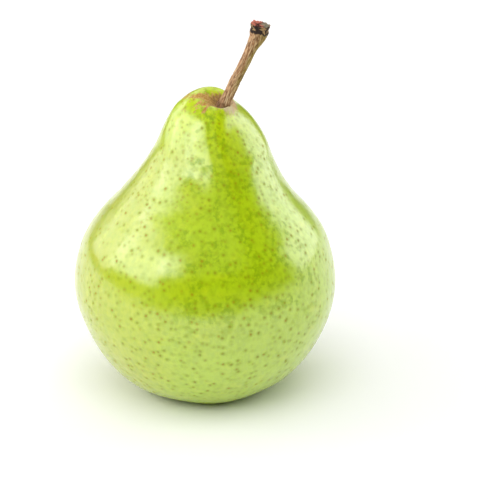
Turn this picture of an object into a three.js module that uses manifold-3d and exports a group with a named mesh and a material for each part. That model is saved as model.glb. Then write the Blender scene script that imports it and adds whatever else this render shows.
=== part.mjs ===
// A ripe green pear standing on its blossom end, with its stalk still in.
// Units are millimetres and +Z is up. The origin is the middle of the flat spot that the fruit rests on,
// and +X is the side that the neck and the stalk lean to.
//
//   fruit_body    the whole fruit, grown as one piece, with the stalk's socket and the calyx basin
//   stem          the woody stalk
//   sepal_1 ..    five dried sepals round the mouth of the calyx tube
//   style_1 ..    five withered styles in the middle of the tube
//   stamen_01 ..  ten withered stamens in a ring round the styles
import * as THREE from "three";
import { mergeVertices } from "three/addons/utils/BufferGeometryUtils.js";
import Module from "manifold-3d";

const wasm = await Module();
wasm.setup();

// ---- Driving dimensions ----
const BELLY_RADIUS = 37.8;
const CROWN_HEIGHT = 89.5; // top of the rim round the stalk
const STEM_RADIUS = 1.48; // at its slimmest
const STEM_ROOT_DEPTH = 5; // how far the stalk runs down into the flesh
const CALYX_MOUTH_RADIUS = 4.5;
const CALYX_DEPTH = 8.9; // from the flat spot up to the floor of the calyx tube
const SEPAL_LENGTH = 6.0;
const SEPAL_WIDTH = 4;
const SEPAL_THICKNESS = 0.45;
const FILAMENT_RADIUS = 0.24; // styles and stamens
const PART_GAP = 0.35; // between neighbouring pieces

// ---- Shared geometry ----
const UP = new THREE.Vector3(0, 0, 1);
const smoothstep = (from, to, x) => THREE.MathUtils.smoothstep(x, from, to);

// Turns a closed geometry into a solid that can be cut.
function toSolid(geometry) {
  const bare = geometry.clone().deleteAttribute("normal").deleteAttribute("uv");
  const merged = mergeVertices(bare, 1e-4);
  return new wasm.Manifold(
    new wasm.Mesh({
      numProp: 3,
      vertProperties: merged.attributes.position.array,
      triVerts: new Uint32Array(merged.index.array),
    }),
  );
}

function toGeometry(solid) {
  const { vertProperties, triVerts } = solid.getMesh();
  const geometry = new THREE.BufferGeometry();
  geometry.setAttribute("position", new THREE.BufferAttribute(vertProperties, 3));
  geometry.setIndex(new THREE.BufferAttribute(triVerts, 1));
  geometry.computeVertexNormals();
  return geometry;
}

// Moves each vertex of a geometry to the point that place(x, y, z) returns.
function reshape(geometry, place) {
  const position = geometry.getAttribute("position");
  for (let i = 0; i < position.count; i++) {
    const moved = place(position.getX(i), position.getY(i), position.getZ(i));
    position.setXYZ(i, moved.x, moved.y, moved.z);
  }
  geometry.computeVertexNormals();
  return geometry;
}

// A solid of revolution about +Z from [radius, height] rows, lowest first, that starts and ends on the axis.
function turned(rows, rings, segments) {
  const curve = new THREE.SplineCurve(rows.map(([r, h]) => new THREE.Vector2(r, h)));
  return new THREE.LatheGeometry(curve.getPoints(rings), segments).rotateX(Math.PI / 2);
}

// Bends a piece whose length runs up +Z from zero so that its middle follows a curve.
function alongCurve(geometry, curve) {
  const length = curve.getLength();
  return reshape(geometry, (x, y, z) => {
    const share = THREE.MathUtils.clamp(z / length, 0, 1);
    const tangent = curve.getTangentAt(share);
    const side = new THREE.Vector3(0, 1, 0).cross(tangent).normalize();
    const across = new THREE.Vector3().crossVectors(tangent, side);
    return curve
      .getPointAt(share)
      .addScaledVector(side, x)
      .addScaledVector(across, y)
      .addScaledVector(tangent, z - share * length);
  });
}

// ---- Fruit ----
// Half outline from the floor of the calyx tube, round the belly and up the neck, into the stalk cavity.
const CALYX_OUTLINE = [
  [0, CALYX_DEPTH], // floor of the tube
  [0.53 * CALYX_MOUTH_RADIUS, CALYX_DEPTH - 0.4],
  [0.78 * CALYX_MOUTH_RADIUS, CALYX_DEPTH - 2.0],
  [CALYX_MOUTH_RADIUS, 0.56 * CALYX_DEPTH], // mouth of the tube
];
// Each row is [share of the belly's radius, share of the crown's height].
const FRUIT_OUTLINE = [
  [0.2, 0.038], // wall of the basin
  [0.286, 0.013],
  [0.381, -0.0034], // the ring that the fruit stands on
  [0.513, 0.016],
  [0.646, 0.052],
  [0.759, 0.101],
  [0.855, 0.161],
  [0.931, 0.229],
  [0.984, 0.302],
  [0.998, 0.374], // belly
  [0.971, 0.447],
  [0.92, 0.514],
  [0.83, 0.575],
  [0.709, 0.637],
  [0.607, 0.693],
  [0.524, 0.749],
  [0.451, 0.804], // neck
  [0.395, 0.858],
  [0.325, 0.907],
  [0.258, 0.938], // shoulder
  [0.143, 0.985], // rim of the stalk cavity
  [0.098, 0.984],
  [0.062, 0.969], // wall of the cavity
  [0.03, 0.958],
  [0, 0.956], // floor of the cavity
];
const FRUIT_RINGS = 64;
const FRUIT_SEGMENTS = 56;

// Where the middle of the fruit runs, at even steps of height from the flat spot to the crown.
const MIDDLE_LINE = new THREE.SplineCurve([
  new THREE.Vector2(0, 0),
  new THREE.Vector2(0, 0),
  new THREE.Vector2(0, 0),
  new THREE.Vector2(-0.2, 0),
  new THREE.Vector2(0.4, -1.0),
  new THREE.Vector2(2.8, -2.1),
  new THREE.Vector2(1.7, -3.1),
]);
// The crown leans over to the front right, and its cavity lies to that side.
const CROWN_TILT = THREE.MathUtils.degToRad(26);
const TILT_START = 0.69; // as a share of the crown's height
const TILT_TOWARDS = THREE.MathUtils.degToRad(-59);
const CAVITY_SHIFT = new THREE.Vector2(3.2, -0.4);
const CAVITY_REACH = 0.24 * BELLY_RADIUS;

// Five soft ribs run down to the basin, and each ends in a low foot.
const RIB_COUNT = 5;
const RIB_SWELL = 0.008;
const RIB_TURN = 0.6;
const FOOT_DROP = 0.14;
// The belly is a little oval.
const OVAL_SWELL = 0.006;
const OVAL_TURN = 0.9;

// Takes a point of the evenly turned fruit to its place on the grown one.
function grown(x, y, z) {
  const angle = Math.atan2(y, x);
  const radius = Math.hypot(x, y);
  const rise = z / CROWN_HEIGHT;

  const rib = Math.cos(RIB_COUNT * angle + RIB_TURN);
  const ribShare = (1 - smoothstep(0.05, 0.4, rise)) * smoothstep(0.2, 0.4, radius / BELLY_RADIUS);
  const ovalShare = (1 - smoothstep(0.4, 0.9, rise)) * Math.sin(2 * angle + OVAL_TURN);
  const swollen = radius * (1 + RIB_SWELL * rib * ribShare + OVAL_SWELL * ovalShare);
  const foot = FOOT_DROP * rib * ribShare * (1 - smoothstep(0, 0.1, rise));

  const tilt = CROWN_TILT * THREE.MathUtils.smootherstep(rise, TILT_START, 1);
  const forward = swollen * Math.cos(angle - TILT_TOWARDS);
  const sideways = swollen * Math.sin(angle - TILT_TOWARDS);
  const middle = MIDDLE_LINE.getPoint(THREE.MathUtils.clamp(rise, 0, 1));
  const cavity = rise > 0.9 ? 1 - smoothstep(0, CAVITY_REACH, radius) : 0;
  return new THREE.Vector3(forward * Math.cos(tilt), sideways, -forward * Math.sin(tilt))
    .applyAxisAngle(UP, TILT_TOWARDS)
    .add(new THREE.Vector3(
      middle.x + CAVITY_SHIFT.x * cavity,
      middle.y + CAVITY_SHIFT.y * cavity,
      z - foot,
    ));
}

function fruitGeometry() {
  const outline = FRUIT_OUTLINE.map(([r, h]) => [r * BELLY_RADIUS, h * CROWN_HEIGHT]);
  const whole = reshape(turned([...CALYX_OUTLINE, ...outline], FRUIT_RINGS, FRUIT_SEGMENTS), grown);
  const floor = new THREE.BoxGeometry(60, 60, 10).translate(0, 0, -5);
  const socket = stemGeometry(PART_GAP);
  return toGeometry(toSolid(whole).subtract(toSolid(floor)).subtract(toSolid(socket)));
}

// ---- Stem ----
// The middle of the stalk, from its root in the flesh to the broken end.
const STEM_LINE = new THREE.CatmullRomCurve3([
  new THREE.Vector3(3.4, -3.6, 81.2),
  new THREE.Vector3(5.4, -3.7, 86.1),
  new THREE.Vector3(7.9, -3.9, 92.0),
  new THREE.Vector3(10.5, -4.1, 97.4),
  new THREE.Vector3(13.2, -4.3, 103.2),
  new THREE.Vector3(15.0, -4.4, 106.9),
  new THREE.Vector3(15.8, -4.4, 110.8),
]);
// Each row is [share of the slimmest radius, share of the length above the flesh].
const STEM_OUTLINE = [
  [1.15, -0.12],
  [1.38, -0.04],
  [1.35, 0.02], // flare where it leaves the flesh
  [1.14, 0.1],
  [1.04, 0.25],
  [1.0, 0.45],
  [1.06, 0.64],
  [1.2, 0.72],
  [1.48, 0.8],
  [1.74, 0.87], // knob where it broke from the spur
  [1.8, 0.94],
  [1.55, 0.99],
];
const STEM_RINGS = 34;
const STEM_SEGMENTS = 20;

// The stalk, or, with a clearance, the solid that cuts its socket.
function stemGeometry(clearance) {
  const length = STEM_LINE.getLength();
  const visible = length - STEM_ROOT_DEPTH;
  const rows = STEM_OUTLINE.map(([r, h]) => [r * STEM_RADIUS + clearance, STEM_ROOT_DEPTH + h * visible]);
  const outline = [
    [0, -clearance],
    [0.8 * STEM_RADIUS + clearance, 0.2 - clearance],
    ...rows,
    [0, length + clearance],
  ];
  return alongCurve(turned(outline, STEM_RINGS, STEM_SEGMENTS), STEM_LINE);
}

// ---- Calyx ----
// A dried sepal: a thin pointed leaf that lies out along the basin's wall, curled at its tip.
const SEPAL_INNER_RADIUS = 4.4;
const SEPAL_SLOPE = THREE.MathUtils.degToRad(-33);
const SEPAL_TOP = 4.25;
const SEPAL_CURL = 0.55;
const SEPAL_CUP = 0.3;

function sepalGeometry(turn) {
  const flat = new THREE.BoxGeometry(1, 1, SEPAL_THICKNESS, 10, 6, 1);
  return reshape(flat, (x, y, z) => {
    const along = x + 0.5;
    const width = SEPAL_WIDTH * (0.85 + 0.45 * along - 1.22 * along * along);
    const lift = -SEPAL_CURL * along ** 3 - SEPAL_CUP * 4 * y * y;
    return new THREE.Vector3(along * SEPAL_LENGTH, y * width, z + lift)
      .applyAxisAngle(new THREE.Vector3(0, 1, 0), -SEPAL_SLOPE)
      .add(new THREE.Vector3(SEPAL_INNER_RADIUS, 0, SEPAL_TOP))
      .applyAxisAngle(UP, turn);
  });
}

// A withered thread that hangs down the tube from a root radius to a tip radius, with a swollen end.
function threadGeometry({ rootRadius, tipRadius, tipHeight, sway, turn }) {
  const rootHeight = CALYX_DEPTH - 0.95;
  const line = new THREE.CatmullRomCurve3([
    new THREE.Vector3(rootRadius, 0, rootHeight),
    new THREE.Vector3(0.6 * rootRadius + 0.4 * tipRadius, 0.5 * sway, 0.6 * rootHeight + 0.4 * tipHeight),
    new THREE.Vector3(tipRadius, sway, tipHeight),
  ]);
  const length = line.getLength();
  const outline = [
    [0, 0],
    [FILAMENT_RADIUS, 0.12],
    [FILAMENT_RADIUS, 0.4 * length],
    [0.85 * FILAMENT_RADIUS, 0.8 * length],
    [1.3 * FILAMENT_RADIUS, length - 0.35],
    [0, length],
  ];
  return alongCurve(turned(outline, 12, 8), line).rotateZ(turn);
}

// ---- Materials ----
const SKIN = new THREE.MeshStandardMaterial({ color: 0xb3d154, roughness: 0.38, metalness: 0 });
const BARK = new THREE.MeshStandardMaterial({ color: 0x8b6e4d, roughness: 0.82, metalness: 0 });
const DRY_LEAF = new THREE.MeshStandardMaterial({ color: 0x5b4632, roughness: 0.9, metalness: 0 });
const DRY_THREAD = new THREE.MeshStandardMaterial({ color: 0x3f2c20, roughness: 0.9, metalness: 0 });

// ---- Assembly ----
const pear = new THREE.Group();
pear.name = "pear";

function add(name, geometry, material) {
  const mesh = new THREE.Mesh(geometry, material);
  mesh.name = name;
  pear.add(mesh);
}

add("fruit_body", fruitGeometry(), SKIN);
add("stem", stemGeometry(0), BARK);

const SEPAL_COUNT = 5;
for (let i = 0; i < SEPAL_COUNT; i++) {
  add(`sepal_${i + 1}`, sepalGeometry((i / SEPAL_COUNT) * 2 * Math.PI), DRY_LEAF);
}

const STYLE_COUNT = 5;
for (let i = 0; i < STYLE_COUNT; i++) {
  const turn = ((i + 0.5) / STYLE_COUNT) * 2 * Math.PI;
  const style = { rootRadius: 0.75, tipRadius: 1.1, tipHeight: 2.6, sway: 0.2, turn };
  add(`style_${i + 1}`, threadGeometry(style), DRY_THREAD);
}

const STAMEN_COUNT = 10;
for (let i = 0; i < STAMEN_COUNT; i++) {
  const turn = (i / STAMEN_COUNT) * 2 * Math.PI;
  const tipHeight = i % 2 ? 3.9 : 3.2;
  const stamen = { rootRadius: 2.0, tipRadius: 2.9, tipHeight, sway: 0.4, turn };
  add(`stamen_${String(i + 1).padStart(2, "0")}`, threadGeometry(stamen), DRY_THREAD);
}

export default pear;
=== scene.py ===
import math

import bpy
import numpy as np
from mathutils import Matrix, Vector, noise


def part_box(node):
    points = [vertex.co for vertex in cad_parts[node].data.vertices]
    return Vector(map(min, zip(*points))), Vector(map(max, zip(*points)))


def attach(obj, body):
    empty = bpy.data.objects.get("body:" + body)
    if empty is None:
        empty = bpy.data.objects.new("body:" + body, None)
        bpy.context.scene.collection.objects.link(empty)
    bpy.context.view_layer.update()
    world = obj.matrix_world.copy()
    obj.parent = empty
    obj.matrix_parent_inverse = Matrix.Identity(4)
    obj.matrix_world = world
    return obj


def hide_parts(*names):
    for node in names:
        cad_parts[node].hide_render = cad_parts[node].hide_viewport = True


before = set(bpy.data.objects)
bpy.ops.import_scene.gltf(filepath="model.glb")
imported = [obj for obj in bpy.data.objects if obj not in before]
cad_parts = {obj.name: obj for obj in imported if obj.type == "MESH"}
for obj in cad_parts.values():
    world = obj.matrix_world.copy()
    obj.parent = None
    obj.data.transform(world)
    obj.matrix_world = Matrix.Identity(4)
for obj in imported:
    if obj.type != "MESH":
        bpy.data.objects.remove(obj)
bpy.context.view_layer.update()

# ---- Fruit ----
# The fruit of a European pear: soft white flesh under a thin waxy skin, grown as one piece round the
# blossom's core. The neck leans a little to the right, the crown tips to the front, and the skin is
# dotted with corky breathing pores and russeted round the stalk.
BELLY_RADIUS = 37.8  # all lengths of the shapes are in millimetres
CROWN_HEIGHT = 89.5
CALYX_MOUTH_RADIUS = 4.5
CALYX_DEPTH = 8.9

# Half outline from the calyx tube's floor, round the belly and up the neck, into the stalk cavity.
CALYX_OUTLINE = [
    (0, CALYX_DEPTH),
    (0.53 * CALYX_MOUTH_RADIUS, CALYX_DEPTH - 0.4),
    (0.78 * CALYX_MOUTH_RADIUS, CALYX_DEPTH - 2.0),
    (CALYX_MOUTH_RADIUS, 0.56 * CALYX_DEPTH),
]
# Shares of the belly's radius and of the crown's height.
FRUIT_OUTLINE = [
    (0.2, 0.038), (0.286, 0.013), (0.381, -0.0034),  # basin and resting ring
    (0.513, 0.016), (0.646, 0.052), (0.759, 0.101), (0.855, 0.161), (0.931, 0.229),
    (0.984, 0.302), (0.998, 0.374), (0.971, 0.447),  # belly
    (0.92, 0.514), (0.83, 0.575), (0.709, 0.637), (0.607, 0.693), (0.524, 0.749),
    (0.451, 0.804), (0.395, 0.858), (0.325, 0.907), (0.258, 0.938),  # neck and shoulder
    (0.143, 0.985), (0.098, 0.984), (0.062, 0.969), (0.03, 0.958), (0, 0.956),  # stalk cavity
]
# How far the fruit's middle stands off its axis, at even steps of height up to the crown.
MIDDLE_LINE = [(0, 0), (0, 0), (0, 0), (-0.2, 0), (0.4, -1.0), (2.8, -2.1), (1.7, -3.1)]
CROWN_TILT = math.radians(26)
TILT_START = 0.69
TILT_TOWARDS = math.radians(-59)
CAVITY_SHIFT = (3.2, -0.4)
CAVITY_REACH = 0.24 * BELLY_RADIUS
RIB_COUNT = 5
NECK_RIDGE_TURN = math.radians(-68)
FRUIT_RINGS = 270
FRUIT_SEGMENTS = 320


def catmull_rom(rows, shares):
    """Points at shares, from 0 to 1, of an even curve through the rows."""
    rows = np.array(rows, float)
    at = np.clip(shares, 0, 1) * (len(rows) - 1)
    i = np.minimum(at.astype(int), len(rows) - 2)
    w = (at - i)[:, None]
    before, here, there, after = (rows[np.clip(i + step, 0, len(rows) - 1)] for step in (-1, 0, 1, 2))
    leave, arrive = (there - before) / 2, (after - here) / 2
    return ((2 * here - 2 * there + leave + arrive) * w**3
            + (3 * there - 3 * here - 2 * leave - arrive) * w**2 + leave * w + here)


def smoothstep(start, end, x):
    t = np.clip((x - start) / (end - start), 0, 1)
    return t * t * (3 - 2 * t)


def smootherstep(start, end, x):
    t = np.clip((x - start) / (end - start), 0, 1)
    return t**3 * (t * (6 * t - 15) + 10)


def wander(points, size, seed):
    """Smooth noise from about -1 to 1 at each point, with lumps of about the given size."""
    return np.array([noise.noise(Vector(p) / size + Vector((seed, 2 * seed, 3 * seed))) for p in points])


def grown(radius, height, angle):
    """Takes rings of the evenly turned fruit to their places on the grown one."""
    rise = height / CROWN_HEIGHT
    rib = np.cos(RIB_COUNT * angle + 0.6)
    rib_share = (1 - smoothstep(0.05, 0.4, rise)) * smoothstep(0.2, 0.4, radius / BELLY_RADIUS)
    oval_share = (1 - smoothstep(0.4, 0.9, rise)) * np.sin(2 * angle + 0.9)
    swollen = radius * (1 + 0.008 * rib * rib_share + 0.006 * oval_share)
    foot = 0.14 * rib * rib_share * (1 - smoothstep(0, 0.1, rise))
    tilt = CROWN_TILT * smootherstep(TILT_START, 1, rise)
    forward = swollen * np.cos(angle - TILT_TOWARDS)
    sideways = swollen * np.sin(angle - TILT_TOWARDS)
    middle = catmull_rom(MIDDLE_LINE, rise.ravel())
    cavity = np.where(rise > 0.9, 1 - smoothstep(0, CAVITY_REACH, radius), 0)
    towards, across = math.cos(TILT_TOWARDS), math.sin(TILT_TOWARDS)
    level = forward * np.cos(tilt)
    x = level * towards - sideways * across + middle[:, 0].reshape(rise.shape) + CAVITY_SHIFT[0] * cavity
    y = level * across + sideways * towards + middle[:, 1].reshape(rise.shape) + CAVITY_SHIFT[1] * cavity
    return np.stack([x, y, height - foot - forward * np.sin(tilt)], -1)


def add_mesh(name, points, faces, attributes=()):
    """Adds a smooth piece from points in millimetres. Attributes hold a number or a vector for each."""
    mesh = bpy.data.meshes.new(name)
    mesh.from_pydata((np.asarray(points) / 1000).tolist(), [], faces)
    for label, values in dict(attributes).items():
        values = np.asarray(values, np.float32)
        kind = "FLOAT_VECTOR" if values.ndim > 1 else "FLOAT"
        field = mesh.attributes.new(label, kind, "POINT")
        field.data.foreach_set("vector" if values.ndim > 1 else "value", values.ravel())
    mesh.shade_smooth()
    piece = bpy.data.objects.new(name, mesh)
    bpy.context.scene.collection.objects.link(piece)
    return piece


def closed_faces(rings, segments):
    """Faces for rings of points between two end points. The ends are the first and the last point."""
    def ring(i, j):
        return 1 + i * segments + j % segments
    last = 1 + rings * segments
    faces = [(0, ring(0, j + 1), ring(0, j)) for j in range(segments)]
    faces += [(ring(i, j), ring(i, j + 1), ring(i + 1, j + 1), ring(i + 1, j))
              for i in range(rings - 1) for j in range(segments)]
    faces += [(last, ring(rings - 1, j), ring(rings - 1, j + 1)) for j in range(segments)]
    return faces


def outline_at(rows, count):
    """Even shares of the outline, softened so that no row of it shows as a crease."""
    dense = catmull_rom(rows, np.linspace(0, 1, 4001))
    window = np.hanning(121)
    padded = [np.pad(column, 60, "reflect", reflect_type="odd") for column in dense.T]
    soft = np.stack([np.convolve(column, window / window.sum(), "valid") for column in padded], -1)
    soft[0], soft[-1] = dense[0], dense[-1]
    return soft[np.linspace(0, 4000, count).astype(int)]


def turned(rows, segments):
    """Radius, turn and height for each point of the rings between an outline's two ends."""
    turns = np.arange(segments) / segments * 2 * math.pi
    radius, turn = np.meshgrid(rows[1:-1, 0], turns, indexing="ij")
    return radius, turn, np.repeat(rows[1:-1, 1:], segments, 1)


outline = CALYX_OUTLINE + [(r * BELLY_RADIUS, h * CROWN_HEIGHT) for r, h in FRUIT_OUTLINE]
rows = outline_at(outline, FRUIT_RINGS + 2)
radius, angle, height = turned(rows, FRUIT_SEGMENTS)
skin = grown(radius, height, angle)
ends = [grown(np.zeros((1, 1)), rows[k, 1].reshape(1, 1), np.zeros((1, 1))).reshape(3) for k in (0, -1)]

# The skin is never quite even: broad dents, a wavering crease where the neck swells into the belly, a
# waist, a shoulder under the crown, small lumps, and a ridge up the front of the neck with a hollow to
# its left. All of them fade out over the resting ring.
BROAD_SIZE, MIDDLING_SIZE, FINE_SIZE = 19, 6, 2.6
BROAD_RISE, MIDDLING_RISE, FINE_RISE = 0.28, 0.045, 0.03
CREASE_HEIGHT, CREASE_FRONT_HEIGHT, CREASE_WIDTH, CREASE_DEPTH = 57, 65, 2.0, 0.25
RIDGE_SIDE, RIDGE_WIDTH, RIDGE_RISE = 2.1, 4.4, 0.85
HOLLOW_SIDE, HOLLOW_WIDTH, HOLLOW_DEPTH = 9.5, 4.5, 0.5
SHOULDER_HEIGHT, SHOULDER_WIDTH, SHOULDER_RISE = 85.5, 5.5, 0.4
WAIST_HEIGHT, WAIST_WIDTH_ABOVE, WAIST_WIDTH_BELOW, WAIST_DEPTH = 68, 11, 7, 0.85
LIP_X, LIP_Y, LIP_WIDTH, LIP_DEPTH = 6.6, -6.6, 2.2, 0.2


def hump(off, width):
    """A smooth hump of height 1, at distances from its middle."""
    return np.exp(-(off / width) ** 2)


around = np.roll(skin, -1, 1) - np.roll(skin, 1, 1)
upward = np.gradient(skin, axis=0)
outward = np.cross(around, upward)
outward /= np.linalg.norm(outward, axis=-1, keepdims=True)
x, y, z = np.moveaxis(skin, -1, 0)
broad, middling, fine = (wander(skin.reshape(-1, 3), size, seed).reshape(radius.shape)
                         for size, seed in ((BROAD_SIZE, 1), (MIDDLING_SIZE, 2), (FINE_SIZE, 3)))
facing = np.cos(angle - NECK_RIDGE_TURN)
front_rise = (CREASE_FRONT_HEIGHT - CREASE_HEIGHT) * np.clip(facing, 0, 1) ** 2
crease = hump(z - (CREASE_HEIGHT + front_rise + 2.5 * middling), CREASE_WIDTH)
crease *= (0.6 + 0.6 * middling) * smoothstep(0.85, 0.2, facing)
neck_side = x * math.sin(NECK_RIDGE_TURN) - y * math.cos(NECK_RIDGE_TURN)
on_neck = np.clip(facing, 0, 1) * smoothstep(63, 74, z) * smoothstep(90, 80, z)
ridge = hump(neck_side - RIDGE_SIDE, RIDGE_WIDTH) * on_neck
hollow = hump(neck_side - HOLLOW_SIDE, HOLLOW_WIDTH) * on_neck
shoulder = hump(z - SHOULDER_HEIGHT, SHOULDER_WIDTH) * smoothstep(0.2, 0.9, facing)
waist_width = np.where(z > WAIST_HEIGHT, WAIST_WIDTH_ABOVE, WAIST_WIDTH_BELOW)
waist = hump(z - WAIST_HEIGHT, waist_width) * smoothstep(-0.3, 0.7, facing)
lip = hump(np.hypot(x - LIP_X, y - LIP_Y), LIP_WIDTH) * (z > 75)
dents = BROAD_RISE * broad + MIDDLING_RISE * middling + FINE_RISE * fine
dents += RIDGE_RISE * ridge + SHOULDER_RISE * shoulder
dents -= CREASE_DEPTH * crease + HOLLOW_DEPTH * hollow + WAIST_DEPTH * waist + LIP_DEPTH * lip
settle = smoothstep(0, 6, z) * smoothstep(1, 8, radius)
skin = skin + outward * (dents * settle)[..., None]
skin[..., 2] = np.maximum(skin[..., 2], 0)
points = np.vstack([ends[0], skin.reshape(-1, 3), ends[1]])
fruit = add_mesh("fruit", points, closed_faces(FRUIT_RINGS, FRUIT_SEGMENTS))
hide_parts("fruit_body")
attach(fruit, "root")


class Wire:
    """A shader socket that sums like a number. Its node() adds any other node to the same material."""

    def __init__(self, socket):
        self.socket = socket

    def node(self, kind, settings, inputs, output=0):
        tree = self.socket.id_data
        made = tree.nodes.new(kind)
        for key, value in settings.items():
            setattr(made, key, value)
        for key, value in inputs.items():
            if isinstance(value, Wire):
                tree.links.new(value.socket, made.inputs[key])
            else:
                made.inputs[key].default_value = value
        return Wire(made.outputs[output])

    def math(self, operation, *values):
        return self.node("ShaderNodeMath", {"operation": operation}, dict(enumerate(values)))

    def __add__(self, other):
        return self.math("ADD", self, other)

    def __sub__(self, other):
        return self.math("SUBTRACT", self, other)

    def __rsub__(self, other):
        return self.math("SUBTRACT", other, self)

    def __mul__(self, other):
        return self.math("MULTIPLY", self, other)

    def __truediv__(self, other):
        return self.math("DIVIDE", self, other)

    def __rtruediv__(self, other):
        return self.math("DIVIDE", other, self)

    __radd__ = __add__
    __rmul__ = __mul__


def new_material(name):
    """An empty material, its shader, and the place on the piece in millimetres."""
    material = bpy.data.materials.new(name)
    material.use_nodes = True
    shader = material.node_tree.nodes["Principled BSDF"]
    here = Wire(material.node_tree.nodes.new("ShaderNodeTexCoord").outputs["Object"])
    return material, shader, vector(here, "SCALE", Scale=1000)


def vector(first, operation, second=None, output=0, **inputs):
    """Vector Math on a wire: the second value is a vector, or Scale is given."""
    if second is not None:
        inputs[1] = second
    return first.node("ShaderNodeVectorMath", {"operation": operation}, {0: first, **inputs}, output)


def rise(value, low, high, to_low=0.0, to_high=1.0):
    """Smoothly takes a value's stretch from low to high onto to_low to to_high."""
    inputs = {"Value": value, "From Min": low, "From Max": high, "To Min": to_low, "To Max": to_high}
    return value.node("ShaderNodeMapRange", {"interpolation_type": "SMOOTHSTEP"}, inputs)


def split(wire):
    """The three numbers of a vector or a colour."""
    made = wire.node("ShaderNodeSeparateXYZ", {}, {0: wire}).socket.node
    return [Wire(output) for output in made.outputs]


def blend(share, first, second):
    """Mixes two colours, from the first at a share of 0 to the second at 1."""
    return share.node("ShaderNodeMix", {"data_type": "RGBA"}, {0: share, 6: first, 7: second}, 2)


def grain(place, size, detail=2, roughness=0.5):
    """Noise from 0 to 1 with lumps of about the given size in millimetres."""
    inputs = {"Vector": place, "Scale": 1 / size, "Detail": detail, "Roughness": roughness}
    return place.node("ShaderNodeTexNoise", {}, inputs)


def bumpy(relief):
    """The direction that a surface faces once a relief in millimetres is laid on it."""
    return relief.node("ShaderNodeBump", {}, {"Strength": 1.0, "Distance": 0.001, "Height": relief})


def feed(shader, **sockets):
    """Sets or links the shader's own sockets, which are named with _ for each space."""
    for key, value in sockets.items():
        socket = shader.inputs[key.replace("_", " ")]
        if isinstance(value, Wire):
            shader.id_data.links.new(value.socket, socket)
        else:
            socket.default_value = value


def paint(hexadecimal):
    """The linear colour of a written one."""
    parts = [int(hexadecimal[i:i + 2], 16) / 255 for i in (0, 2, 4)]
    return (*[c / 12.92 if c <= 0.04045 else ((c + 0.055) / 1.055) ** 2.4 for c in parts], 1)


STEM_BASE = Vector((5.4, -3.7, 86.1))  # where the stalk leaves the skin

SKIN_GREEN, SKIN_RIPE, CROWN_LIT_YELLOW, FLANK_SHADE_OLIVE = map(paint, ("b8d600", "bdc700", "d4ee00", "a3b000"))
FLECK_GREEN, CLOUD_GREEN, PALE_YELLOW = map(paint, ("9dbc00", "8cac00", "cfdd00"))

material, shader, place = new_material("pear skin")
across, deep, up = split(place)

# Ripening: yellow to the left and below, greener to the right and front, in soft cloudy patches.
drift = grain(place, 22, 3)
sunny = rise(across * -0.016 + deep * 0.008 + drift * 1.2, 0.2, 1.0)
ground = blend(sunny, SKIN_GREEN, SKIN_RIPE)
# Towards the crown the skin turns a ripe yellow that is also painted lighter: painted light, as if it fell
# from above.
ground = blend(rise(up, 70, 86) * 0.85, ground, CROWN_LIT_YELLOW)
front = (math.cos(NECK_RIDGE_TURN), math.sin(NECK_RIDGE_TURN), 0)
to_front = vector(place, "DOT_PRODUCT", front, 1)
from_axis = vector(vector(place, "MULTIPLY", (1, 1, 0)), "LENGTH", output=1)
# Painted shade: away from the front, over the flanks and the back, the skin is darkened towards olive to
# tone down the light of the side soft boxes.
flank_shade = rise(to_front, 20, 2)
ground = blend(flank_shade * 0.3, ground, FLANK_SHADE_OLIVE)
# Fine upright flecks, as the skin's cells stretch with the neck, and green clouds over the front above its
# lowest part.
stretched = vector(place, "MULTIPLY", (1, 1, 0.5))
fleck = rise(grain(stretched, 1.5, 4, 0.65), 0.42, 0.66)
ground = blend(fleck * 0.4, ground, FLECK_GREEN)
cloud = rise(grain(place, 6, 3), 0.44, 0.58) * rise(grain(place, 1.5, 3, 0.6), 0.42, 0.64)
cloud = cloud * rise(to_front / from_axis, 0.66, 0.9) * rise(up, 22, 42)
ground = blend(cloud * 0.9, ground, CLOUD_GREEN)
pale = rise(grain(vector(place, "ADD", (50, 0, 0)), 4, 4, 0.62), 0.52, 0.75)
ground = blend(pale * 0.45, ground, PALE_YELLOW)

# Pores: small corky dots, each in a greener halo. Finer ones lie between them on the neck.
PORE_SPACING, PORE_RADIUS, FINE_PORE_SPACING, FINE_PORE_RADIUS = 1.95, 0.62, 1.4, 0.4
HALO_GREEN, PORE_OLIVE, PORE_BROWN = map(paint, ("98b000", "939500", "a68500"))


def pores(cell, size):
    """Each pore, from 1 down to 0 at its rim, then its halo, then a number of its own from 0 to 1."""
    wander_inputs = {"Vector": place, "Scale": 1 / 0.7, "Detail": 1.0}
    wobble = place.node("ShaderNodeTexNoise", {}, wander_inputs, "Color")
    wobbly = vector(place, "ADD", vector(wobble, "SCALE", Scale=0.3))
    spots = {"Vector": wobbly, "Scale": 1 / cell, "Randomness": 1.0}
    near = place.node("ShaderNodeTexVoronoi", {"feature": "F1"}, spots, "Distance")
    bold, own, _ = split(Wire(near.socket.node.outputs["Color"]))
    near = near * cell
    strength = rise(bold, 0.0, 0.7, 0.45, 1.0)
    return rise(near, size, size * 0.2) * strength, rise(near, size * 2.0, size * 0.5) * strength, own


pore, halo, pore_own = pores(PORE_SPACING, PORE_RADIUS)
fine_pore, fine_halo, _ = pores(FINE_PORE_SPACING, FINE_PORE_RADIUS)
fine_share = rise(up, 45, 70, 0.1, 0.7)
dotted = pore.math("MAXIMUM", pore, fine_pore * fine_share)
haloed = pore.math("MAXIMUM", halo, fine_halo * fine_share)
ground = blend(haloed * (0.65 - flank_shade * 0.2), ground, HALO_GREEN)
pore_color = blend(rise(pore_own + sunny * 0.5, 0.5, 1.1), PORE_OLIVE, PORE_BROWN)
ground = blend(dotted * 0.85, ground, pore_color)

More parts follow.
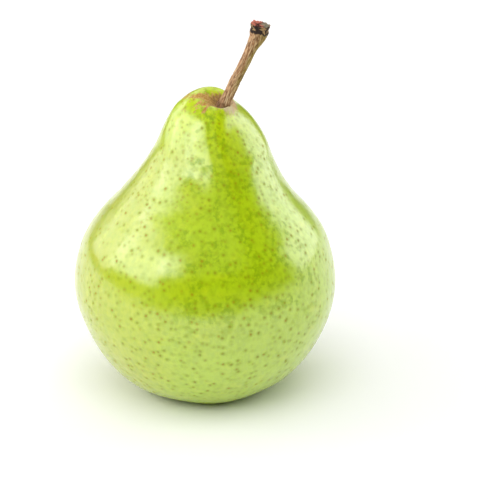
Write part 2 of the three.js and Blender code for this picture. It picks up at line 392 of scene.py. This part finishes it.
# Russet: dry corky skin that runs out from the stalk in feathered rays, longest to the left. In front
# it stops short at the basin's lip, behind it breaks up into dashes, and the basin itself is cracked.
RUSSET_REACH, RUSSET_EDGE = 3.5, 0.8
CORK_BROWN, CORK_TAN, CORK_PINK = map(paint, ("a8743a", "d3ab70", "d4ae96"))
LIP_CREAM, BASIN_BROWN, CRACK_BLACK = map(paint, ("d3c6a6", "956b52", "4a3835"))

from_stem = vector(place, "SUBTRACT", STEM_BASE)
stem_x, stem_y, _ = split(from_stem)
far = vector(from_stem, "LENGTH", output=1)
bearing = stem_x.math("ARCTAN2", stem_y, stem_x)
round_stem = {0: bearing.math("COSINE", bearing) * 5, 1: bearing.math("SINE", bearing) * 5, 2: far * 0.3}
ray_place = bearing.node("ShaderNodeCombineXYZ", {}, round_stem)
ray = rise(grain(ray_place, 0.9, 4, 0.6), 0.36, 0.64)


def towards(degrees, low, high):
    """How nearly a place lies that way from the stalk. 0 is the right and 90 the back."""
    turn = math.radians(degrees)
    return rise((stem_x * math.cos(turn) + stem_y * math.sin(turn)) / (far + 0.3), low, high)


leftward = towards(187, 0.6, 0.94)
edge = grain(place, 0.7, 4, 0.7) * 2.4 - 1.2
reach = RUSSET_REACH + ray + leftward * (ray * 5.0 + 2.0) + edge
reach = reach + towards(135, 0.5, 0.95) * 1.6 - towards(290, 0.5, 0.95) * 0.5
russet = rise(far, reach + RUSSET_EDGE, reach - RUSSET_EDGE)
dashes = rise(grain(ray_place, 0.3, 3, 0.6), 0.56, 0.64) * rise(far, 12, 6) * towards(160, 0.6, 0.95)
russet = russet.math("MAXIMUM", russet, dashes * 0.75)
speckle = rise(grain(place, 0.5, 2, 0.6), 0.62, 0.7) * rise(far, 7, 4)
russet = russet.math("MAXIMUM", russet, speckle * 0.6)
calyx_russet = rise(from_axis + grain(place, 2, 4, 0.7) * 7, 13, 8) * rise(up, 12, 8)
russet = russet.math("MAXIMUM", russet, calyx_russet)
cork = blend(rise(grain(place, 0.7, 4, 0.7), 0.35, 0.68), CORK_BROWN, CORK_TAN)
cork = blend(towards(0, 0.3, 0.8) * 0.7, cork, CORK_PINK)
lip = rise(far, 4.6, 2.8) * towards(270, 0.0, 0.6)
cork = blend(lip * 0.8, cork, LIP_CREAM)
basin = rise(far, 6.0, 3.0) * towards(125, 0.3, 0.8)
cork = blend(basin * 0.6, cork, BASIN_BROWN)
crack = rise(grain(ray_place, 0.3, 2, 0.6), 0.55, 0.6) * rise(far, 4.8, 3.4) * towards(140, 0.4, 0.9)
cork = blend(crack * 0.85, cork, CRACK_BLACK)
ground = blend(russet * 0.92, ground, cork)

# A thin coat of wax gives the gloss, with gentle waves in it. Cork and pores have little of it.
wave = grain(place, 3.6, 3, 0.55) * 0.09 + grain(place, 1.2, 3, 0.6) * 0.03
bumps = wave - dotted * 0.015 + russet * grain(place, 0.5, 4, 0.75) * 0.12 - crack * 0.2
gloss = 0.25 + grain(place, 4, 3) * 0.12 + dotted * 0.3
wax = (1 - russet) * (1 - dotted * 0.6) * (1 - haloed * 0.35) * (1 - cloud * 0.5)
feed(shader, Base_Color=ground, Roughness=gloss + russet * 0.4, Normal=bumpy(bumps),
     Specular_IOR_Level=0.12, Coat_Weight=wax, Coat_Roughness=0.22, Coat_IOR=2.1,
     Subsurface_Weight=0.1, Subsurface_Radius=(0.6, 1.0, 0.1), Subsurface_Scale=0.002)
fruit.data.materials.append(material)

# ---- Stem ----
# The woody stalk that held the fruit to its spur. Its bark has shrunk into long wandering ridges and
# furrows, it flares where it roots in the flesh, and it ends in the dark corky knob where it broke off.
STEM_RADIUS = 1.48
STEM_ROOT_DEPTH = 5
STEM_LINE = [
    (3.4, -3.6, 81.2), (5.4, -3.7, 86.1), (7.9, -3.9, 92.0), (10.5, -4.1, 97.4),
    (13.2, -4.3, 103.2), (15.0, -4.4, 106.9), (15.8, -4.4, 110.8),
]
# Shares of the slimmest radius and of the length above the flesh.
STEM_OUTLINE = [
    (1.15, -0.12), (1.38, -0.04), (1.4, 0.02), (1.16, 0.1), (1.04, 0.25), (1.0, 0.45), (1.04, 0.62),
    (1.15, 0.72), (1.4, 0.8), (1.7, 0.87), (1.8, 0.91), (1.74, 0.94), (1.78, 0.965), (1.62, 0.992),
    (1.2, 1.0), (0.6, 0.99),
]
STEM_RINGS = 430
STEM_SEGMENTS = 144
STEM_END_INSET = 0.35  # the knob's middle lies this far inside its end
RIDGE_SIZE, FURROW_SIZE, FIBRE_SIZE = 0.9, 0.5, 0.22
BARK_RIDGE_RISE, FURROW_DEPTH, FIBRE_RISE = 0.17, 0.17, 0.035
ROOT_RIB_COUNT, ROOT_RIB_RISE, ROOT_FOOT_RISE = 6, 0.2, 0.8
KNOB_CRUMB_RISE, COLLAR_GAP_SHARE, COLLAR_GAP_DEPTH = 0.42, 0.925, 0.3


class Line:
    """A smooth line through rows of places, which a rod's middle follows."""

    def __init__(self, rows):
        self.dense = catmull_rom(rows, np.linspace(0, 1, 1201))
        steps = np.linalg.norm(np.diff(self.dense, axis=0), axis=1)
        self.lengths = np.concatenate([[0], np.cumsum(steps)])
        self.length = self.lengths[-1]

    def at(self, far):
        """Places and directions at distances along the line, and on straight past its ends."""
        held = np.clip(far, 0, self.length)
        place = np.stack([np.interp(held, self.lengths, c) for c in self.dense.T], -1)
        slopes = np.gradient(self.dense, self.lengths, axis=0)
        ahead = np.stack([np.interp(held, self.lengths, c) for c in slopes.T], -1)
        ahead /= np.linalg.norm(ahead, axis=-1, keepdims=True)
        return place + ahead * (far - held)[..., None], ahead


def rod(line, radius, far, turn):
    """Points round a line, at radii from it, distances along it and turns about it."""
    place, ahead = line.at(far)
    side = np.cross((0, 1, 0), ahead)
    side /= np.linalg.norm(side, axis=-1, keepdims=True)
    radius, turn = radius[..., None], turn[..., None]
    return place + radius * (side * np.cos(turn) + np.cross(ahead, side) * np.sin(turn))


line = Line(STEM_LINE)
above = line.length - STEM_ROOT_DEPTH
outline = [(0, 0), (0.8 * STEM_RADIUS, 0.2)]
outline += [(r * STEM_RADIUS, STEM_ROOT_DEPTH + h * above) for r, h in STEM_OUTLINE]
outline += [(0, line.length - STEM_END_INSET)]
rows = catmull_rom(outline, np.linspace(0, 1, STEM_RINGS + 2))
radius, turn, far = turned(rows, STEM_SEGMENTS)
share = (far - STEM_ROOT_DEPTH) / above

# Bark: ridges and furrows that wind slowly up the stalk, on a coat of fine fibres.
wound = turn + 0.9 * share + 0.35 * np.sin(5 * share + 1)
bark_place = np.stack([1.6 * np.cos(wound), 1.6 * np.sin(wound), 0.2 * far], -1).reshape(-1, 3)
ridge = wander(bark_place, RIDGE_SIZE, 4).reshape(far.shape)
furrow = np.clip(1 - 3.6 * np.abs(wander(bark_place, FURROW_SIZE, 5)), 0, 1).reshape(far.shape) ** 1.5
fibre = wander(bark_place * (1, 1, 2.2), FIBRE_SIZE, 6).reshape(far.shape)
on_bark = smoothstep(0.93, 0.86, share)
swell = on_bark * (BARK_RIDGE_RISE * ridge - FURROW_DEPTH * furrow + FIBRE_RISE * fibre)
# Root ribs, which grip the flesh, and a foot that spreads to the right.
rib = np.cos(ROOT_RIB_COUNT * turn + 2.2 * np.sin(turn) + 0.5)
swell += ROOT_RIB_RISE * smoothstep(0.16, 0.0, share) * rib
swell += ROOT_FOOT_RISE * smoothstep(0.12, -0.04, share) * np.clip(np.cos(turn), 0, 1)
swell *= smoothstep(0, 0.6, radius)  # none at the two ends, where the rings close
# Knob: a collar of torn bark round a crumbled end.
stem_place = rod(line, radius, far, turn).reshape(-1, 3)
crumb = (wander(stem_place, 1.3, 7) + 0.6 * wander(stem_place, 0.5, 8)).reshape(far.shape)
on_knob = smoothstep(0.85, 0.93, share)
swell += on_knob * KNOB_CRUMB_RISE * crumb * smoothstep(0, 1.2, radius)
collar_gap = hump(share - COLLAR_GAP_SHARE + 0.012 * np.sin(3 * turn), 0.014)
swell -= COLLAR_GAP_DEPTH * collar_gap * (0.6 + 0.8 * crumb)
lift = smoothstep(0.965, 1.0, share) * (0.4 * crumb + 0.2 * np.cos(turn - 2.2) - 0.45)
bark = rod(line, np.maximum(radius + swell, 0.02), far + lift, turn)
ends = [line.at(np.array([k]))[0][0] for k in (0.0, line.length - STEM_END_INSET)]
points = np.vstack([ends[0], bark.reshape(-1, 3), ends[1]])


def with_ends(values, first=0, last=0):
    """A number for each point of the rings, and for the point at either end."""
    return np.concatenate([[first], values.ravel(), [last]])


# Where each point would lie on a straight stalk, so that the grain of the bark follows the bend.
straight = np.stack([radius * np.cos(wound), radius * np.sin(wound), far], -1).reshape(-1, 3)
straight = np.vstack([(0, 0, 0), straight, (0, 0, line.length)])
stem = add_mesh("stalk", points, closed_faces(STEM_RINGS, STEM_SEGMENTS), {
    "straight": straight,
    "furrow": with_ends(furrow * on_bark),
    "share": with_ends(share, -0.2, 1),
    "crumb": with_ends(crumb),
    "righthand": with_ends(np.cos(turn)),
})
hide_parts("stem")
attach(stem, "root")


def painted(place, name, output="Fac"):
    """A number or a vector that the mesh holds at each point."""
    return place.node("ShaderNodeAttribute", {"attribute_name": name}, {}, output)


BARK_BROWN, BARK_TAN, BARK_PALE, FURROW_BROWN = map(paint, ("8f6032", "d8ba8c", "e0cba4", "5e3a1a"))
BARK_OLIVE, BARK_PINK, ROOT_SHADE_BROWN = map(paint, ("9c9038", "cf9f7c", "4d3320"))
COLLAR_BLACK, COLLAR_TAN = map(paint, ("2c211b", "a58559"))
RUST_DARK, RUST_RED, RUST_GREY = map(paint, ("4a2a22", "c4705a", "8d8b72"))

material, shader, place = new_material("stalk bark")
straight = painted(place, "straight", "Vector")
furrow, share = painted(place, "furrow"), painted(place, "share")
crumb, righthand = painted(place, "crumb"), painted(place, "righthand")
long_grain = vector(straight, "MULTIPLY", (1, 1, 0.16))
streak = grain(long_grain, 0.36, 4, 0.62)
bark_color = blend(rise(streak, 0.36, 0.64), BARK_BROWN, BARK_TAN)
olive = rise(righthand + grain(straight, 2.5) * 0.9, 0.35, 1.15) * rise(share, 0.12, 0.4)
bark_color = blend(olive * 0.6, bark_color, BARK_OLIVE)
pink = rise(righthand, 0.1, -0.8)
bark_color = blend(pink * 0.4, bark_color, BARK_PINK)
bark_color = blend(rise(grain(long_grain, 1.4, 2), 0.58, 0.75) * 0.5, bark_color, BARK_PALE)
bark_color = blend(furrow * 0.85, bark_color, FURROW_BROWN)
# Darker brown streaks near the root: dark clefts in the bark, with painted shade where the stalk goes into
# the flesh.
root_shade = rise(share, 0.13, 0.0) * rise(grain(long_grain, 0.9, 3), 0.4, 0.6)
bark_color = blend(root_shade * 0.75, bark_color, ROOT_SHADE_BROWN)
# The knob: black corky collar, broken by tan bark, under a rust-red end.
knob = rise(share + grain(place, 1.1, 3, 0.6) * 0.05, 0.9, 0.92)
broken = rise(crumb + grain(place, 0.5, 3, 0.7) * 1.2, 0.45, 0.95)
collar = blend(broken, COLLAR_BLACK, COLLAR_TAN)
bark_color = blend(knob, bark_color, collar)
face = rise(share + grain(place, 0.8, 3, 0.6) * 0.03, 0.985, 1.0)
rust = blend(rise(crumb + grain(place, 0.4, 3, 0.7) * 0.9, 0.2, 0.9), RUST_DARK, RUST_RED)
rust = blend(rise(righthand, 0.2, 0.8) * 0.7, rust, RUST_GREY)
bark_color = blend(face, bark_color, rust)
relief = streak * 0.12 + grain(long_grain, 0.15, 3, 0.6) * 0.04
relief = relief + knob * grain(place, 0.35, 4, 0.75) * 0.15
feed(shader, Base_Color=bark_color, Roughness=0.62 + streak * 0.25, Specular_IOR_Level=0.35,
     Normal=bumpy(relief))
stem.data.materials.append(material)

# ---- Sepals ----
# The five sepals of the blossom, dried to brown leathery scraps that lie along the basin's wall round
# the mouth of the calyx tube.
SEPAL_COUNT, SEPAL_LENGTH, SEPAL_WIDTH, SEPAL_THICKNESS = 5, 6.0, 4.0, 0.45
SEPAL_INNER_RADIUS, SEPAL_TOP = 4.4, 4.25
SEPAL_SLOPE = math.radians(33)
SEPAL_RINGS, SEPAL_SEGMENTS = 44, 48
SEPAL_DARK, SEPAL_BROWN, VEIN_TAN = map(paint, ("3a2a1d", "7a5f40", "a08a63"))

material, shader, place = new_material("dry sepal")
vein = painted(place, "vein")
leaf = blend(rise(grain(place, 1.2, 4, 0.65), 0.3, 0.7), SEPAL_DARK, SEPAL_BROWN)
leaf = blend(vein * 0.6, leaf, VEIN_TAN)
relief = vein * 0.08 + grain(place, 0.4, 4, 0.7) * 0.1
feed(shader, Base_Color=leaf, Roughness=0.75 + grain(place, 0.8) * 0.2, Specular_IOR_Level=0.3,
     Normal=bumpy(relief))

along, turn = np.meshgrid(np.linspace(0, 1, SEPAL_RINGS + 2)[1:-1],
                          np.arange(SEPAL_SEGMENTS) / SEPAL_SEGMENTS * 2 * math.pi, indexing="ij")
for number in range(1, SEPAL_COUNT + 1):
    out = (number - 1) / SEPAL_COUNT * 2 * math.pi
    across = 0.5 * np.cos(turn)
    ragged = 1 + 0.12 * np.sin(9 * along + number) + 0.06 * np.sin(23 * along + 2 * number)
    width = SEPAL_WIDTH * (0.85 + 0.45 * along - 1.22 * along**2) * ragged
    width *= smoothstep(-0.06, 0.05, along)
    thick = 0.5 * SEPAL_THICKNESS * np.sin(turn) * (1 - 0.5 * along)
    crease = 0.07 * np.cos(7 * math.pi * across) * (1 - along) + 0.06 * np.sin(11 * along + 3 * number)
    curl = -0.55 * along**3 - 1.2 * across**2 + crease
    flat_x, flat_z = along * SEPAL_LENGTH, thick + curl
    x = SEPAL_INNER_RADIUS + flat_x * math.cos(SEPAL_SLOPE) + flat_z * math.sin(SEPAL_SLOPE)
    z = SEPAL_TOP - flat_x * math.sin(SEPAL_SLOPE) + flat_z * math.cos(SEPAL_SLOPE)
    y = across * width
    c, s = math.cos(out), math.sin(out)
    place = np.stack([x * c - y * s, x * s + y * c, z], -1)
    points = np.vstack([place[0].mean(0), place.reshape(-1, 3), place[-1].mean(0)])
    ribs = hump(across, 0.04) + 0.5 * hump(np.abs(across) - 0.25, 0.03)
    sepal = add_mesh(f"dry_sepal_{number}", points, closed_faces(SEPAL_RINGS, SEPAL_SEGMENTS),
                     {"vein": with_ends(ribs)})
    sepal.data.materials.append(material)
    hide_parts(f"sepal_{number}")
    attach(sepal, "root")

# ---- Styles and stamens ----
# What is left of the blossom inside the calyx tube: five styles in the middle, which took the pollen,
# and a ring of ten stamens, each a withered thread with the husk of its pollen sac at the tip.
FILAMENT_RADIUS = 0.24
THREAD_ROOT_HEIGHT = CALYX_DEPTH - 0.95
TIP_LENGTH = 0.35
THREAD_RINGS, THREAD_SEGMENTS = 40, 16
STYLE_COUNT, STYLE_ROOT, STYLE_TIP, STYLE_TIP_HEIGHT, STYLE_SWAY = 5, 0.75, 1.1, 2.6, 0.2
STAMEN_COUNT, STAMEN_ROOT, STAMEN_TIP, STAMEN_SWAY = 10, 2.0, 2.9, 0.4
STAMEN_TIP_HEIGHTS = (3.9, 3.2)  # of even ones and odd ones in turn
THREAD_DARK, THREAD_BROWN, TIP_BLACK = map(paint, ("2a1a12", "6b4a30", "1c130e"))

material, shader, place = new_material("withered thread")
thread_color = blend(rise(grain(place, 0.5, 4, 0.65), 0.35, 0.7), THREAD_DARK, THREAD_BROWN)
thread_color = blend(rise(painted(place, "tip"), 0.8, 0.92), thread_color, TIP_BLACK)
relief = grain(vector(place, "MULTIPLY", (1, 1, 0.3)), 0.25, 4, 0.7) * 0.08
feed(shader, Base_Color=thread_color, Roughness=0.8 + grain(place, 0.6) * 0.15, Specular_IOR_Level=0.3,
     Normal=bumpy(relief))


def thread(name, node, root_radius, tip_radius, tip_height, sway, out, seed):
    """One withered thread, from its root at the tube's floor down to its tip, turned to its place."""
    bend_radius = 0.6 * root_radius + 0.4 * tip_radius
    bend_height = 0.6 * THREAD_ROOT_HEIGHT + 0.4 * tip_height
    line = Line([(root_radius, 0, THREAD_ROOT_HEIGHT), (bend_radius, 0.5 * sway, bend_height),
                 (tip_radius, sway, tip_height)])
    outline = [
        (0, 0), (FILAMENT_RADIUS, 0.12), (FILAMENT_RADIUS, 0.4 * line.length),
        (0.8 * FILAMENT_RADIUS, 0.8 * line.length), (1.3 * FILAMENT_RADIUS, line.length - TIP_LENGTH),
        (0, line.length),
    ]
    rows = catmull_rom(outline, np.linspace(0, 1, THREAD_RINGS + 2))
    radius, turn, far = turned(rows, THREAD_SEGMENTS)
    shrunk = radius * (0.9 + 0.1 * np.sin(3 * turn + 1.5 * far + seed) * np.sin(2.3 * far + seed))
    place = rod(line, shrunk, far, turn).reshape(-1, 3)
    points = np.vstack([line.at(np.array([0.0]))[0], place, line.at(np.array([line.length]))[0]])
    c, s = math.cos(out), math.sin(out)
    points = points @ np.array([(c, s, 0), (-s, c, 0), (0, 0, 1)])
    tip = with_ends(far / line.length, 0, 1)
    piece = add_mesh(name, points, closed_faces(THREAD_RINGS, THREAD_SEGMENTS), {"tip": tip})
    piece.data.materials.append(material)
    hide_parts(node)
    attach(piece, "root")


for number in range(1, STYLE_COUNT + 1):
    thread(f"dry_style_{number}", f"style_{number}", STYLE_ROOT, STYLE_TIP, STYLE_TIP_HEIGHT, STYLE_SWAY,
           (number - 0.5) / STYLE_COUNT * 2 * math.pi, number)
for number in range(1, STAMEN_COUNT + 1):
    thread(f"dry_stamen_{number:02d}", f"stamen_{number:02d}", STAMEN_ROOT, STAMEN_TIP,
           STAMEN_TIP_HEIGHTS[number % 2], STAMEN_SWAY,
           (number - 1) / STAMEN_COUNT * 2 * math.pi, 7 + number)

# ---- Floor ----
# A wide sheet of pale matt board, which the pear stands on.
FLOOR_REACH = 900
BOARD_WHITE = (0.93, 0.93, 0.93, 1)
points = [(x * FLOOR_REACH, y * FLOOR_REACH, 0) for x, y in ((-1, -1), (1, -1), (1, 1), (-1, 1))]
floor = add_mesh("floor", points, [(0, 1, 2, 3)])
material, shader, place = new_material("floor board")
feed(shader, Base_Color=BOARD_WHITE, Roughness=0.9)
floor.data.materials.append(material)

# ---- Light ----
# Soft boxes stand from the far left round to the front, on the right, above and behind. The waxy skin
# mirrors them. Three wide lights farther off fill in the shade, and the skin mirrors none of those.
LIGHTS = [
    # name, azimuth, elevation, distance, width, height, watts, mirrored by the skin
    ("far left soft box", -139, 21.5, 1.1, 0.34, 0.69, 0.55, True),
    ("left soft box", -111, 21.5, 1.1, 0.82, 0.69, 3.1, True),
    ("front left soft box", -68, 29, 1.1, 1.0, 0.67, 4.9, True),
    ("front soft box", -34, 36, 1.1, 0.42, 0.34, 0.9, True),
    ("right soft box", 114, 15.5, 1.1, 1.05, 0.6, 4.3, True),
    ("top soft box", 180, 80, 1.3, 1.4, 1.1, 4.1, True),
    ("back soft box", 180, 35, 1.3, 1.4, 0.8, 3.6, True),
    ("fill", 8, 58, 2.6, 2.4, 2.4, 45, False),
    ("left fill", -118, 30, 2.6, 2.4, 2.4, 9, False),
    ("right fill", 122, 30, 2.6, 2.4, 2.4, 10, False),
]
ROOM_GLOW = 0.04
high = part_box("fruit_body")[1]
middle = Vector((0, 0, high.z / 2))


def soft_box(name, azimuth, elevation, distance, width, height, power, mirrored):
    """A rectangular light that faces the pear. Azimuth 0 is the front and 90 the right."""
    light = bpy.data.lights.new(name, "AREA")
    light.shape = "RECTANGLE"
    light.size, light.size_y, light.energy = width, height, power
    lamp = bpy.data.objects.new(name, light)
    a, e = math.radians(azimuth), math.radians(elevation)
    lamp.location = Vector((math.sin(a) * math.cos(e), -math.cos(a) * math.cos(e), math.sin(e))) * distance
    lamp.location += middle
    lamp.rotation_euler = (middle - lamp.location).to_track_quat("-Z", "Y").to_euler()
    lamp.visible_camera = False
    lamp.visible_glossy = mirrored
    bpy.context.scene.collection.objects.link(lamp)


for row in LIGHTS:
    soft_box(*row)

# The room looks white, but adds little light, so that the skin keeps its full colour between the boxes.
world = bpy.data.worlds.new("room")
world.use_nodes = True
glow = world.node_tree.nodes["Background"]
seen = Wire(world.node_tree.nodes.new("ShaderNodeLightPath").outputs["Is Camera Ray"])
world.node_tree.links.new((ROOM_GLOW + seen * (1 - ROOM_GLOW)).socket, glow.inputs["Strength"])
glow.inputs["Color"].default_value = (1, 1, 1, 1)
bpy.context.scene.world = world
bpy.context.scene.view_settings.view_transform = "Standard"

# ---- Camera ----
# It stands in front of the pear and looks down a little.
SENSOR_WIDTH, FOCAL_LENGTH = 36, 149
CAMERA_DISTANCE, CAMERA_ELEVATION = 0.6, math.radians(22)
TARGET = Vector((0.01116, 0, 0.0413))
camera_data = bpy.data.cameras.new("camera")
camera_data.sensor_width = SENSOR_WIDTH
camera_data.lens = FOCAL_LENGTH
camera = bpy.data.objects.new("camera", camera_data)
to_camera = Vector((0, -math.cos(CAMERA_ELEVATION), math.sin(CAMERA_ELEVATION)))
camera.location = TARGET + CAMERA_DISTANCE * to_camera
camera.rotation_euler = (math.pi / 2 - CAMERA_ELEVATION, 0, 0)
bpy.context.scene.collection.objects.link(camera)
bpy.context.scene.camera = camera
